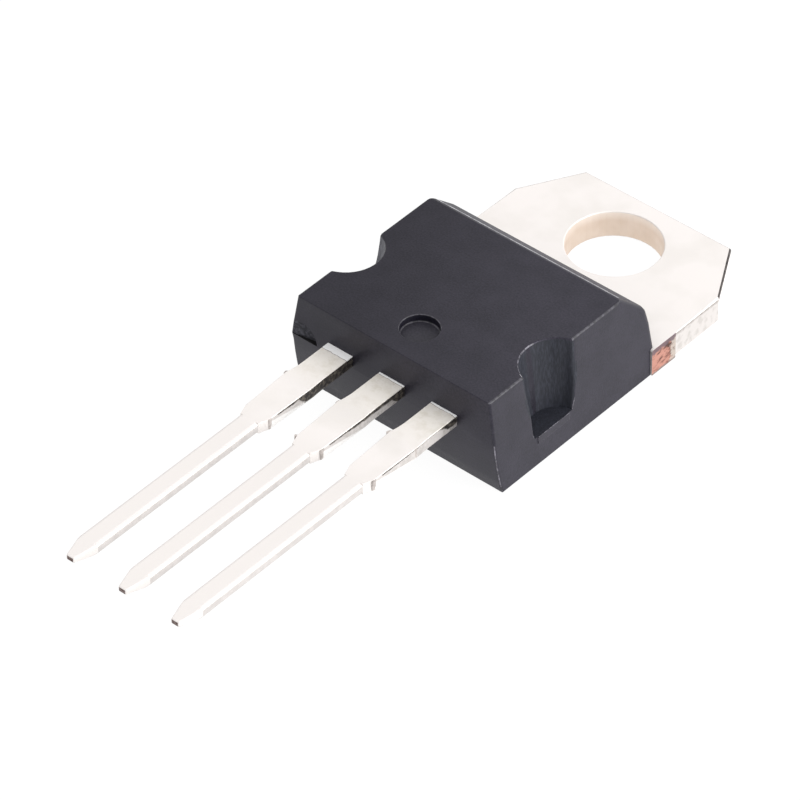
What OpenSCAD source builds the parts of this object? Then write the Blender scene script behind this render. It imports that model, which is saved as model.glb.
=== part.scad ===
// Three-lead voltage regulator in a moulded tab package, lying on its metal back.
// Millimetres. The origin is the centre of the screw hole on the back face.
// +Z leaves the back face, +Y runs to the end of the tab, the leads run to -Y.
// Lengths along Y are given as distances from the hole's centre.

/* [Tab] */
// Width of the metal tab
tab_w = 10.1; // [9.9:0.05:10.3]
// Thickness of the metal tab
tab_t = 1.23; // [1.2:0.01:1.32]
// Hole centre to the end of the tab
tab_end = 2.65; // [2.6:0.05:2.95]
// Diameter of the screw hole
hole_d = 3.85; // [3.7:0.05:3.9]
// How far in the corner cuts reach along the tab's end
corner_x = 1.45; // [1.2:0.05:1.7]
// How far back the corner cuts reach along the tab's sides
corner_y = 2.55; // [2:0.05:2.9]
// Hole centre to the shoulder where the tab narrows into the die pad
shoulder = 3.92; // [3.9:0.01:4.05]
// Size of the stamped roll along the tab's lower edges
edge_roll = 0.1; // [0.05:0.01:0.15]
// Length of each cut tie-bar stub beside the body
stub_l = 1.4; // [1.2:0.05:1.7]
// How far each stub stands out of the tab's side
stub_out = 0.02; // [0.01:0.01:0.06]

/* [Body] */
// Height of the whole package
body_h = 4.4; // [4.36:0.01:4.6]
// How far inside each side of the tab the top face ends
top_in = 0.38; // [0.3:0.01:0.45]
// How far inside each side of the tab the back face ends
base_in = 0.05; // [0.03:0.01:0.07]
// How far inside each side of the tab the parting line runs
part_in = 0.1; // [0.08:0.01:0.14]
// Hole centre to the front edge of the top face
front_top = 12.84; // [12.8:0.01:12.88]
// Hole centre to the front face at the parting line
front_part = 12.9; // [12.89:0.01:13.05]
// Hole centre to the front edge of the back face
front_base = 12.5; // [12.4:0.01:12.6]
// How far the lower front face bulges past a straight draft
front_bulge = 0.05; // [0.02:0.01:0.08]
// Hole centre to the rear edge of the top face
rear_top = 5.26; // [5.1:0.02:5.4]
// Hole centre to the knee of the rear face
rear_knee = 3.98; // [3.94:0.01:4.1]
// Level of the knee of the rear face
knee_z = 3.22; // [3.15:0.01:3.3]
// Radius of the knee of the rear face
knee_r = 0.6; // [0.3:0.05:0.7]
// Hole centre to the foot of the rear face on the tab
rear_foot = 3.62; // [3.58:0.01:3.72]

/* [Clip notches and marks] */
// How far outside each side of the tab the notch axis lies
notch_out = 0.1; // [0.05:0.01:0.15]
// Hole centre to the notch axis
notch_y = 9.55; // [9.45:0.05:9.7]
// Notch radius at the top face
notch_r_top = 1.46; // [1.4:0.01:1.5]
// Notch radius at its floor
notch_r_low = 1.1; // [1.05:0.01:1.2]
// Level of the notch floor
notch_floor = 1.35; // [1.3:0.01:1.45]
// How far the flash lip below each notch stands out
lip_out = 0.03; // [0.02:0.01:0.06]
// How far the flash lip reaches into the body
lip_in = 0.3; // [0.2:0.05:0.4]
// Height of the flash lip
lip_h = 0.34; // [0.2:0.02:0.4]
// Length of the flash lip
lip_l = 1.8; // [1.4:0.1:2]
// Diameter of the ejector pin mark
pin_mark_d = 1.54; // [1.4:0.02:1.7]
// Depth of the ejector pin mark
pin_mark_deep = 0.33; // [0.2:0.01:0.4]
// Hole centre to the ejector pin mark
pin_mark_y = 11.3; // [11.2:0.05:11.4]
// How far inside the side of the tab the middle of the gate mark lies
gate_in = 0.58; // [0.5:0.01:0.65]
// Radius of the gate mark
gate_r = 0.74; // [0.65:0.01:0.8]
// Depth of the gate mark at its middle
gate_deep = 0.1; // [0.06:0.01:0.14]
// Tilt of the gate mark's broken floor in degrees
gate_tilt = 10; // [6:1:12]

/* [Leads] */
// Spacing of the leads
pitch = 2.54; // [2.5:0.01:2.58]
// Level of the underside of the leads
lead_low = 2.48; // [2.42:0.01:2.56]
// Thickness of the leads
lead_t = 0.5; // [0.46:0.01:0.56]
// Width of a lead near the body
lead_wide = 1.22; // [1.16:0.02:1.28]
// Width of a lead beyond the shoulders
lead_narrow = 0.87; // [0.8:0.01:0.9]
// Length of a lead outside the body
lead_len = 14.5; // [13:0.1:14.7]
// Body to the start of the dam-bar cut
dam_from = 2.2; // [2.1:0.05:2.3]
// Body to the end of the dam-bar cut
dam_to = 4.5; // [4.3:0.05:4.6]
// Length of the curve that leads out to the dam-bar cut
dam_run = 0.8; // [0.6:0.05:1]
// How far the dam-bar cut stands out of a lead's left side
dam_left = 0.1; // [0.05:0.01:0.12]
// How far the dam-bar cut stands out of a lead's right side
dam_right = 0.03; // [0.02:0.01:0.08]
// Length of the shoulders beyond the dam-bar cut
shoulder_len = 0.5; // [0.4:0.05:0.7]
// Length of the coined tip
tip_len = 1; // [0.8:0.05:1.2]
// Width of the tip's cut end
tip_w = 0.36; // [0.3:0.01:0.5]
// Thickness of the tip's cut end
tip_t = 0.24; // [0.2:0.01:0.3]
// Size of the soft edges of the narrow part
edge_cut = 0.09; // [0.05:0.01:0.12]

/* [Inside the body] */
// How far inside each side of the tab the die pad's back ends
pad_in = 1.1; // [1:0.05:1.25]
// How far the pad's locking lip stands out
pad_lip = 0.3; // [0.2:0.05:0.35]
// Level of the underside of the locking lip
pad_lip_z = 0.5; // [0.4:0.05:0.6]
// Hole centre to the front of the pad's lip
pad_front = 11.75; // [11.6:0.05:11.8]
// Width of the locking groove across the pad
groove_w = 0.4; // [0.3:0.05:0.5]
// Depth of the locking groove
groove_deep = 0.2; // [0.15:0.01:0.25]
// Hole centre to the locking groove
groove_y = 5.4; // [5.3:0.05:5.6]
// Height the middle lead's neck takes up at the front of the pad
neck_t = 0.17; // [0.1:0.01:0.2]
// How far the neck reaches back over the pad
neck_in = 0.6; // [0.5:0.05:0.7]
// How far in front of the pad the neck's underside reaches the leads' level
neck_low = 0.5; // [0.4:0.05:0.6]
// How far in front of the pad the neck's upper side reaches the leads' level
neck_high = 0.2; // [0.1:0.05:0.3]
// Depth of each outer lead's neck inside the body
root_in = 0.65; // [0.6:0.01:0.7]
// Length of the paddle each wire is bonded to
paddle_l = 1.75; // [1.6:0.05:1.8]
// Width of the paddle each wire is bonded to
paddle_w = 2.2; // [2:0.05:2.3]
// How far the paddle's middle lies inside the lead's
paddle_in = 0.26; // [0.2:0.01:0.3]
// Diameter of the locking hole in each outer lead
lock_d = 0.6; // [0.5:0.05:0.65]
// Metal left between the locking hole and the end of the paddle
lock_edge = 0.05; // [0.04:0.01:0.1]
// Width of the silicon die
die_w = 2.4; // [2.2:0.1:2.6]
// Length of the silicon die
die_l = 2; // [1.8:0.1:2.2]
// Thickness of the silicon die
die_t = 0.3; // [0.25:0.01:0.35]
// Thickness of the solder under the die
solder_t = 0.05; // [0.03:0.01:0.08]
// How far the solder shows round the die
solder_out = 0.1; // [0.05:0.01:0.2]
// Hole centre to the middle of the die
die_y = 8.2; // [8:0.05:8.4]
// Centre line to the wire's foot on the die
bond_x = 0.7; // [0.6:0.05:0.8]
// How far in front of the die's middle the wire's foot lies
bond_y = 0.1; // [0:0.05:0.2]
// How far inside the paddle's middle the wire's foot lies
land_x = 0.08; // [0:0.02:0.1]
// End of the paddle to the middle of the wire's foot
land_y = 0.45; // [0.4:0.01:0.5]
// Diameter of the bond wires
wire_d = 0.25; // [0.2:0.01:0.3]
// Radius of the wire loops
loop_r = 1.75; // [1.72:0.01:1.85]
// Length of a wire's pressed foot
foot_l = 0.5; // [0.4:0.05:0.6]
// Width of a wire's pressed foot
foot_w = 0.32; // [0.3:0.01:0.4]
// Thickness of a wire's pressed foot
foot_t = 0.12; // [0.1:0.01:0.14]
// How deep a wire's end sinks into its foot
foot_sink = 0.02; // [0.01:0.01:0.04]

/* [Hidden] */
lead_top = lead_low + lead_t;
lead_mid = lead_low + lead_t / 2;
die_top = tab_t + solder_t + die_t;
paddle_front = front_part - root_in;
paddle_end = paddle_front - paddle_l;
tip_y = front_part + lead_len;
tip_start = tip_y - tip_len;
narrow_y = front_part + dam_to + shoulder_len;
curve_steps = 8;
eps = 0.2;

// Half the width of the body at the level z, with one draft below the parting line and one above.
function half_width(z) =
    tab_w / 2 - lookup(z, [[0, base_in], [lead_low, part_in], [body_h, top_in]]);

// The points of an arc of radius r that rounds the corner b between a and c.
function rounded(a, b, c, r) =
    let (u = (a - b) / norm(a - b), v = (c - b) / norm(c - b),
         m = b + (u + v) / norm(u + v) * r / sin(acos(u * v) / 2),
         p = b + u * ((m - b) * u) - m, q = b + v * ((m - b) * v) - m,
         from = atan2(p[1], p[0]), turn = atan2(p[0] * q[1] - p[1] * q[0], p * q))
    [for (i = [0 : curve_steps])
        m + r * [cos(from + turn * i / curve_steps), sin(from + turn * i / curve_steps)]];

// One side of a lead's plan: neck, curve, dam-bar cut and shoulder; s is -1 left, 1 right.
function lead_side(s, out) = concat(
    [[s * lead_wide / 2, eps - paddle_front]],
    [for (i = [0 : curve_steps]) let (t = i / curve_steps)
        [s * (lead_wide / 2 + out * t * t), dam_run * (1 - t) - front_part - dam_from]],
    [[s * lead_wide / 2, -front_part - dam_to], [s * lead_narrow / 2, -narrow_y]]);

// A wire's two ends, seen from the side of the loop: start on the die, end on the paddle.
wire_from = [bond_x, -die_y - bond_y];
wire_to = [pitch - paddle_in - land_x, -paddle_end - land_y];
wire_run = norm(wire_to - wire_from);
wire_turn = atan2(wire_to[1] - wire_from[1], wire_to[0] - wire_from[0]);
wire_a = [0, die_top + foot_t - foot_sink];
wire_b = [wire_run, lead_top + foot_t - foot_sink];
chord = norm(wire_b - wire_a);
drop = sqrt(loop_r * loop_r - chord * chord / 4);
loop_c = (wire_a + wire_b) / 2
       + drop * [wire_b[1] - wire_a[1], -wire_run] / chord;
ang_a = atan2(wire_a[1] - loop_c[1], wire_a[0] - loop_c[0]) + 360;
ang_b = atan2(wire_b[1] - loop_c[1], wire_b[0] - loop_c[0]);

// Extrude a drawing of Y and Z across the part, w wide in all.
module across(w) {
    translate([-w / 2, 0, 0]) rotate([90, 0, 90]) linear_extrude(w) children();
}

// Plan of one lead from the inside of the body to its shoulders, middle at x = 0.
module wide_plan() {
    right = lead_side(1, dam_right);
    polygon(concat(lead_side(-1, dam_left), [for (i = [len(right) - 1 : -1 : 0]) right[i]]));
}

// Plan of the narrow part with its tapered tip.
module narrow_plan() {
    n = lead_narrow / 2;
    e = tip_w / 2;
    polygon([[-n, -narrow_y + eps], [-n, -tip_start], [-e, -tip_y],
             [e, -tip_y], [n, -tip_start], [n, -narrow_y + eps]]);
}

// Side view of the narrow part.
module narrow_side() {
    t = tip_t / 2;
    polygon([[-narrow_y + eps, lead_low], [-tip_start, lead_low],
             [-tip_y, lead_mid - t], [-tip_y, lead_mid + t],
             [-tip_start, lead_top], [-narrow_y + eps, lead_top]]);
}

// Cross section of the narrow part with its soft edges.
module narrow_section() {
    n = lead_narrow / 2;
    c = edge_cut;
    polygon([[-n, lead_low + c], [-n + c, lead_low], [n - c, lead_low], [n, lead_low + c],
             [n, lead_top - c], [n - c, lead_top], [-n + c, lead_top], [-n, lead_top - c]]);
}

module lead_bar() {
    translate([0, 0, lead_low]) linear_extrude(lead_t) wide_plan();
    intersection() {
        linear_extrude(body_h) narrow_plan();
        across(pitch) narrow_side();
        translate([0, -narrow_y + eps, 0]) rotate([90, 0, 0])
            linear_extrude(lead_len) narrow_section();
    }
}

// Wedge that softens the lower edge of the tab between two corners of its plan.
module rolled_edge(a, b) {
    side = edge_roll * sqrt(2);
    translate([a[0], a[1], 0]) rotate(atan2(b[1] - a[1], b[0] - a[0])) rotate([45, 0, 0])
        translate([-edge_roll, -side / 2, -side / 2])
            cube([norm(b - a) + 2 * edge_roll, side, side]);
}

// Stamped copper frame: tab, die pad, locking features and the middle lead.
module tab_frame() {
    w = tab_w / 2;
    plan = [[-w, -shoulder], [-w, tab_end - corner_y], [-w + corner_x, tab_end],
            [w - corner_x, tab_end], [w, tab_end - corner_y], [w, -shoulder]];
    color([0.85, 0.84, 0.82]) difference() {
        union() {
            difference() {
                linear_extrude(tab_t) polygon(plan);
                for (i = [0 : len(plan) - 2]) rolled_edge(plan[i], plan[i + 1]);
            }
            translate([-w - stub_out, -shoulder, 0])
                cube([tab_w + 2 * stub_out, stub_l, tab_t]);
            translate([-w + pad_in, -pad_front + pad_lip, 0])
                cube([tab_w - 2 * pad_in, pad_front - pad_lip - shoulder + eps, tab_t]);
            translate([-w + pad_in - pad_lip, -pad_front, pad_lip_z])
                cube([tab_w - 2 * (pad_in - pad_lip), pad_front - shoulder + eps,
                      tab_t - pad_lip_z]);
            across(lead_wide)
                polygon([[root_in / 2 - front_part, lead_low], [-pad_front - neck_low, lead_low],
                         [-pad_front, tab_t - neck_t], [-pad_front + neck_in, tab_t - neck_t],
                         [-pad_front + neck_in, tab_t], [-pad_front - neck_high, lead_top],
                         [root_in / 2 - front_part, lead_top]]);
            lead_bar();
        }
        translate([0, 0, -eps]) cylinder(h = tab_t + 2 * eps, d = hole_d, $fn = 96);
        translate([-w, -groove_y - groove_w / 2, tab_t - groove_deep])
            cube([tab_w, groove_w, 2 * groove_deep]);
    }
}

// Outer lead on the side s (-1 left, 1 right) with the paddle its wire lands on.
module outer_lead(s) {
    color([0.88, 0.87, 0.85]) difference() {
        union() {
            translate([s * pitch, 0, 0]) lead_bar();
            translate([s * (pitch - paddle_in) - paddle_w / 2, -paddle_front, lead_low])
                cube([paddle_w, paddle_l, lead_t]);
        }
        translate([s * pitch, -paddle_front + lock_edge + lock_d / 2, lead_low - eps])
            cylinder(h = lead_t + 2 * eps, d = lock_d, $fn = 48);
    }
}

module lead_left() { outer_lead(-1); }

module lead_right() { outer_lead(1); }

module silicon_die() {
    color([0.35, 0.36, 0.42])
        translate([-die_w / 2, -die_y - die_l / 2, tab_t + solder_t]) cube([die_w, die_l, die_t]);
}

module die_solder() {
    color([0.6, 0.61, 0.63])
        translate([-die_w / 2 - solder_out, -die_y - die_l / 2 - solder_out, tab_t])
            cube([die_w + 2 * solder_out, die_l + 2 * solder_out, solder_t]);
}

// One looped aluminium wire with a pressed foot at each end.
module wire() {
    translate([wire_from[0], wire_from[1], 0]) rotate(wire_turn) {
        translate([loop_c[0], 0, loop_c[1]]) rotate([90, 0, 0]) rotate(ang_b)
            rotate_extrude(angle = ang_a - ang_b, $fn = 96)
                translate([loop_r, 0]) circle(d = wire_d, $fn = 20);
        translate([-foot_l / 2, -foot_w / 2, die_top]) cube([foot_l, foot_w, foot_t]);
        translate([wire_run - foot_l / 2, -foot_w / 2, lead_top]) cube([foot_l, foot_w, foot_t]);
    }
}

module bond_wire_right() { color([0.8, 0.8, 0.82]) wire(); }

module bond_wire_left() { color([0.8, 0.8, 0.82]) mirror([1, 0, 0]) wire(); }

// One conical clip notch on the +X side.
module notch() {
    deep = body_h - notch_floor;
    grow = (notch_r_top - notch_r_low) / deep;
    translate([tab_w / 2 + notch_out, -notch_y, notch_floor])
        cylinder(h = deep + eps, r1 = notch_r_low, r2 = notch_r_top + grow * eps, $fn = 72);
}

// Flash lip under the notch on the +X side.
module lip() {
    low = notch_floor - lip_h;
    translate([half_width(low) - lip_in, -notch_y - lip_l / 2, low])
        cube([lip_in + lip_out, lip_l, lip_h]);
}

// Half-round mark with a tilted floor, where the gate broke off above the parting line.
module gate_mark() {
    intersection() {
        translate([gate_in - tab_w / 2, gate_deep - front_part, lead_low])
            rotate([0, 0, gate_tilt]) rotate([90, 0, 0])
                cylinder(h = gate_r, r = gate_r, $fn = 64);
        translate([-tab_w / 2, -front_part - gate_r, lead_low])
            cube([2 * gate_r, 2 * gate_r, gate_r]);
    }
}

module body_shell() {
    run = front_part - front_base;
    rear = [[-rear_top, body_h], [-rear_knee, knee_z], [-rear_foot, tab_t]];
    intersection() {
        across(tab_w)
            polygon(concat(
                [for (i = [0 : curve_steps]) let (t = i / curve_steps)
                    [-front_base - run * t - 4 * front_bulge * t * (1 - t), lead_low * t]],
                [[-front_top, body_h], rear[0]], rounded(rear[0], rear[1], rear[2], knee_r),
                [rear[2], [-shoulder, tab_t], [-shoulder, 0]]));
        rotate([90, 0, 0]) linear_extrude(front_part + eps)
            polygon([for (q = [[-1, 0], [-1, lead_low], [-1, body_h],
                               [1, body_h], [1, lead_low], [1, 0]])
                [q[0] * half_width(q[1]), q[1]]]);
    }
}

// Epoxy body, moulded round everything it holds.
module moulded_body() {
    color([0.16, 0.16, 0.18]) difference() {
        union() {
            difference() {
                body_shell();
                for (s = [0, 1]) mirror([s, 0, 0]) notch();
                translate([0, -pin_mark_y, body_h - pin_mark_deep])
                    cylinder(h = pin_mark_deep + eps, d = pin_mark_d, $fn = 64);
                gate_mark();
            }
            for (s = [0, 1]) mirror([s, 0, 0]) lip();
        }
        tab_frame();
        lead_left();
        lead_right();
        silicon_die();
        die_solder();
        bond_wire_left();
        bond_wire_right();
    }
}

moulded_body();
tab_frame();
lead_left();
lead_right();
silicon_die();
die_solder();
bond_wire_left();
bond_wire_right();
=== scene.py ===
import math

import bpy
import bmesh
from mathutils import Matrix, Vector, noise


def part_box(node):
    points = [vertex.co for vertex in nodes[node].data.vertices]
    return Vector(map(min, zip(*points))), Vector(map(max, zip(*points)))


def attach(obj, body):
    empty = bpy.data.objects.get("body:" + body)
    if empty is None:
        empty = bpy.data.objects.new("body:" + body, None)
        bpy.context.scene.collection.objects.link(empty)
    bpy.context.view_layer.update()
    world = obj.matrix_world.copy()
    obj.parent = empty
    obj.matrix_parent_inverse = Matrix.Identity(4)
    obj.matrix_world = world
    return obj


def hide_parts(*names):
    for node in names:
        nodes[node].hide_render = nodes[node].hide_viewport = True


mm = 0.001
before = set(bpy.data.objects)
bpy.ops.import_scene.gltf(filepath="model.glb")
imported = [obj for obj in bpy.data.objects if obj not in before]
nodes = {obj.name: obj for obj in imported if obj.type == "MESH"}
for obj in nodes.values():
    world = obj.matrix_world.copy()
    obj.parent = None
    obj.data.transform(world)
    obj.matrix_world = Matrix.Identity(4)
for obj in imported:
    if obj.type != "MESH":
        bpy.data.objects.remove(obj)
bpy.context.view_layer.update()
tabLow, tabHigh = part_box("tab_frame")
tabTop = 1.23 * mm  # the frame's own box ends higher, at the lead
bodyLow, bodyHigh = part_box("moulded_body")
leadLow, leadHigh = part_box("lead_right")
print("frame loaded:", ", ".join(sorted(nodes)))


def srgb(code, alpha=1.0):
    # "#rrggbb" as a colour picker shows it, turned to linear
    parts = [int(code[i:i + 2], 16) / 255 for i in (1, 3, 5)]
    linear = [c / 12.92 if c <= 0.04045 else ((c + 0.055) / 1.055) ** 2.4 for c in parts]
    return (*linear, alpha)


def node(tree, kind, settings=None, links=None, stops=None):
    # settings: properties or input values by name, links: input name to an output socket,
    # stops: a colour ramp's positions, each with its colour as hex or as one grey value
    made = tree.nodes.new(kind)
    for key, value in (settings or {}).items():
        if isinstance(key, int) or key in made.inputs:
            made.inputs[key].default_value = value
        else:
            setattr(made, key, value)
    for key, source in (links or {}).items():
        tree.links.new(source, made.inputs[key])
    if stops:
        while len(made.color_ramp.elements) < len(stops):
            made.color_ramp.elements.new(0.5)
        for element, (position, colour) in zip(made.color_ramp.elements, stops):
            element.position = position
            grey = (colour, colour, colour, 1)
            element.color = srgb(colour) if isinstance(colour, str) else grey
    return made


def newMaterial(name):
    material = bpy.data.materials.new(name)
    material.use_nodes = True
    tree = material.node_tree
    tree.nodes.clear()
    shader = node(tree, "ShaderNodeBsdfPrincipled")
    node(tree, "ShaderNodeOutputMaterial", links={"Surface": shader.outputs["BSDF"]})
    where = node(tree, "ShaderNodeTexCoord").outputs["Object"]
    return material, tree, shader, where


def perMetre(size):
    # Noise scale whose features are about size millimetres across
    return 1 / (size * mm)


noiseLow, noiseHigh = 0.3, 0.7  # nearly all values of a noise texture lie between these
epoxyIor = 1.5


def mouldedEpoxy(name, roughness, gloss):
    # Silica-filled black epoxy, transfer moulded in a spark-eroded die:
    # the eye sees a dense matt charcoal, slightly violet, with a fine grain. Painted shade makes it
    # darker towards the left front and painted light lighter towards the right rear, in colour and
    # gloss
    look = {"base": "#131218", "pale": "#2a2830", "grain": 0.08, "cloud": 1.1, "fine": 0.72,
            "grainHeight": 0.008, "paintedLightAxis": (1, 0.5, 0), "paintedShadeAt": -8, "paintedLightAt": -0.5,
            "dull": 0.78, "paintedLightLevel": 1.15, "smoother": 0.06, "rougher": 0.08,
            "tint": "#edeaff"}
    material, tree, shader, where = newMaterial(name)
    grain = node(tree, "ShaderNodeTexNoise", {"Scale": perMetre(look["grain"]), "Detail": 3.0,
                                              "Roughness": 0.7}, {"Vector": where})
    cloud = node(tree, "ShaderNodeTexNoise", {"Scale": perMetre(look["cloud"]), "Detail": 4.0},
                 {"Vector": where})
    both = node(tree, "ShaderNodeMix", {"data_type": "FLOAT", 0: look["fine"]},
                {2: cloud.outputs["Fac"], 3: grain.outputs["Fac"]})
    colour = node(tree, "ShaderNodeValToRGB", links={"Fac": both.outputs[0]},
                  stops=[(0.38, look["base"]), (0.62, look["pale"])]).outputs["Color"]
    # painted light and shade: colour and gloss go from darker at the left front to lighter at the
    # right rear
    paintedLightAxis = node(tree, "ShaderNodeVectorMath", {"operation": "DOT_PRODUCT", 1: look["paintedLightAxis"]},
                {0: where})
    paintedLight = node(tree, "ShaderNodeMapRange", {"From Min": look["paintedShadeAt"] * mm,
                                               "From Max": look["paintedLightAt"] * mm,
                                               "To Min": look["dull"], "To Max": look["paintedLightLevel"]},
                  {"Value": paintedLightAxis.outputs["Value"]})
    tinted = node(tree, "ShaderNodeMix", {"data_type": "RGBA", "blend_type": "MULTIPLY", 0: 1.0},
                  {6: colour, 7: paintedLight.outputs[0]})
    tree.links.new(tinted.outputs[2], shader.inputs["Base Color"])
    paintedLightGloss = node(tree, "ShaderNodeMath", {"operation": "MULTIPLY", 1: gloss},
                 {0: paintedLight.outputs[0]})
    tree.links.new(paintedLightGloss.outputs[0], shader.inputs["Specular IOR Level"])
    rough = node(tree, "ShaderNodeMapRange", {"From Min": noiseLow, "From Max": noiseHigh,
                                              "To Min": roughness - look["smoother"],
                                              "To Max": roughness + look["rougher"]},
                 {"Value": grain.outputs["Fac"]})
    tree.links.new(rough.outputs[0], shader.inputs["Roughness"])
    bump = node(tree, "ShaderNodeBump", {"Strength": 0.6, "Distance": look["grainHeight"] * mm},
                {"Height": grain.outputs["Fac"]})
    tree.links.new(bump.outputs[0], shader.inputs["Normal"])
    shader.inputs["IOR"].default_value = epoxyIor
    shader.inputs["Specular Tint"].default_value = srgb(look["tint"])
    return material


def highlightEpoxy(name, dark, pale):
    # The same epoxy with a painted highlight on rounded edges and small faces:
    # a broken line of brighter dots
    look = {"dot": 0.2}
    material, tree, shader, where = newMaterial(name)
    dots = node(tree, "ShaderNodeTexNoise", {"Scale": perMetre(look["dot"]), "Detail": 3.0,
                                             "Roughness": 0.6}, {"Vector": where})
    colour = node(tree, "ShaderNodeValToRGB", links={"Fac": dots.outputs["Fac"]},
                  stops=[(0.4, dark), (0.62, pale)]).outputs["Color"]
    tree.links.new(colour, shader.inputs["Base Color"])
    shader.inputs["Roughness"].default_value = 0.5
    shader.inputs["IOR"].default_value = epoxyIor
    return material


def scoredEpoxy(name, base, pale):
    # Epoxy that was dragged along the core pin as the mould opened:
    # a little bluer, with faint upright score lines
    look = {"line": 0.06, "stretch": 0.16, "height": 0.007}
    material, tree, shader, where = newMaterial(name)
    upright = node(tree, "ShaderNodeMapping", {"Scale": (1, 1, look["stretch"])}, {"Vector": where})
    lines = node(tree, "ShaderNodeTexNoise", {"Scale": perMetre(look["line"]), "Detail": 4.0,
                                              "Roughness": 0.65}, {"Vector": upright.outputs[0]})
    colour = node(tree, "ShaderNodeValToRGB", links={"Fac": lines.outputs["Fac"]},
                  stops=[(0.42, base), (0.66, pale)]).outputs["Color"]
    tree.links.new(colour, shader.inputs["Base Color"])
    bump = node(tree, "ShaderNodeBump", {"Strength": 0.8, "Distance": look["height"] * mm},
                {"Height": lines.outputs["Fac"]})
    tree.links.new(bump.outputs[0], shader.inputs["Normal"])
    shader.inputs["Roughness"].default_value = 0.6
    shader.inputs["IOR"].default_value = epoxyIor
    shader.inputs["Specular IOR Level"].default_value = 0.35
    return material


def pinMarkShading(name, base, pale):
    # Epoxy in the ejector pin's mark: wall painted near black as shade, floor painted paler as
    # light
    look = {"grain": 0.08}
    material, tree, shader, where = newMaterial(name)
    grain = node(tree, "ShaderNodeTexNoise", {"Scale": perMetre(look["grain"]), "Detail": 3.0},
                 {"Vector": where})
    colour = node(tree, "ShaderNodeValToRGB", links={"Fac": grain.outputs["Fac"]},
                  stops=[(0.38, base), (0.62, pale)]).outputs["Color"]
    tree.links.new(colour, shader.inputs["Base Color"])
    shader.inputs["Roughness"].default_value = 0.5
    shader.inputs["IOR"].default_value = epoxyIor
    shader.inputs["Specular IOR Level"].default_value = 0.3
    return material


def brokenEpoxy(name, base, pale):
    # Fracture where the runner was snapped off: dull and crumbly; a near black copy paints the
    # shade in its deep rim
    look = {"crumb": 0.13, "height": 0.04}
    material, tree, shader, where = newMaterial(name)
    crumbs = node(tree, "ShaderNodeTexNoise", {"Scale": perMetre(look["crumb"]), "Detail": 5.0,
                                               "Roughness": 0.7}, {"Vector": where})
    colour = node(tree, "ShaderNodeValToRGB", links={"Fac": crumbs.outputs["Fac"]},
                  stops=[(0.45, base), (0.68, pale)]).outputs["Color"]
    tree.links.new(colour, shader.inputs["Base Color"])
    bump = node(tree, "ShaderNodeBump", {"Strength": 1.0, "Distance": look["height"] * mm},
                {"Height": crumbs.outputs["Fac"]})
    tree.links.new(bump.outputs[0], shader.inputs["Normal"])
    shader.inputs["Roughness"].default_value = 0.75
    shader.inputs["IOR"].default_value = epoxyIor
    shader.inputs["Specular IOR Level"].default_value = 0.3
    return material


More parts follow.
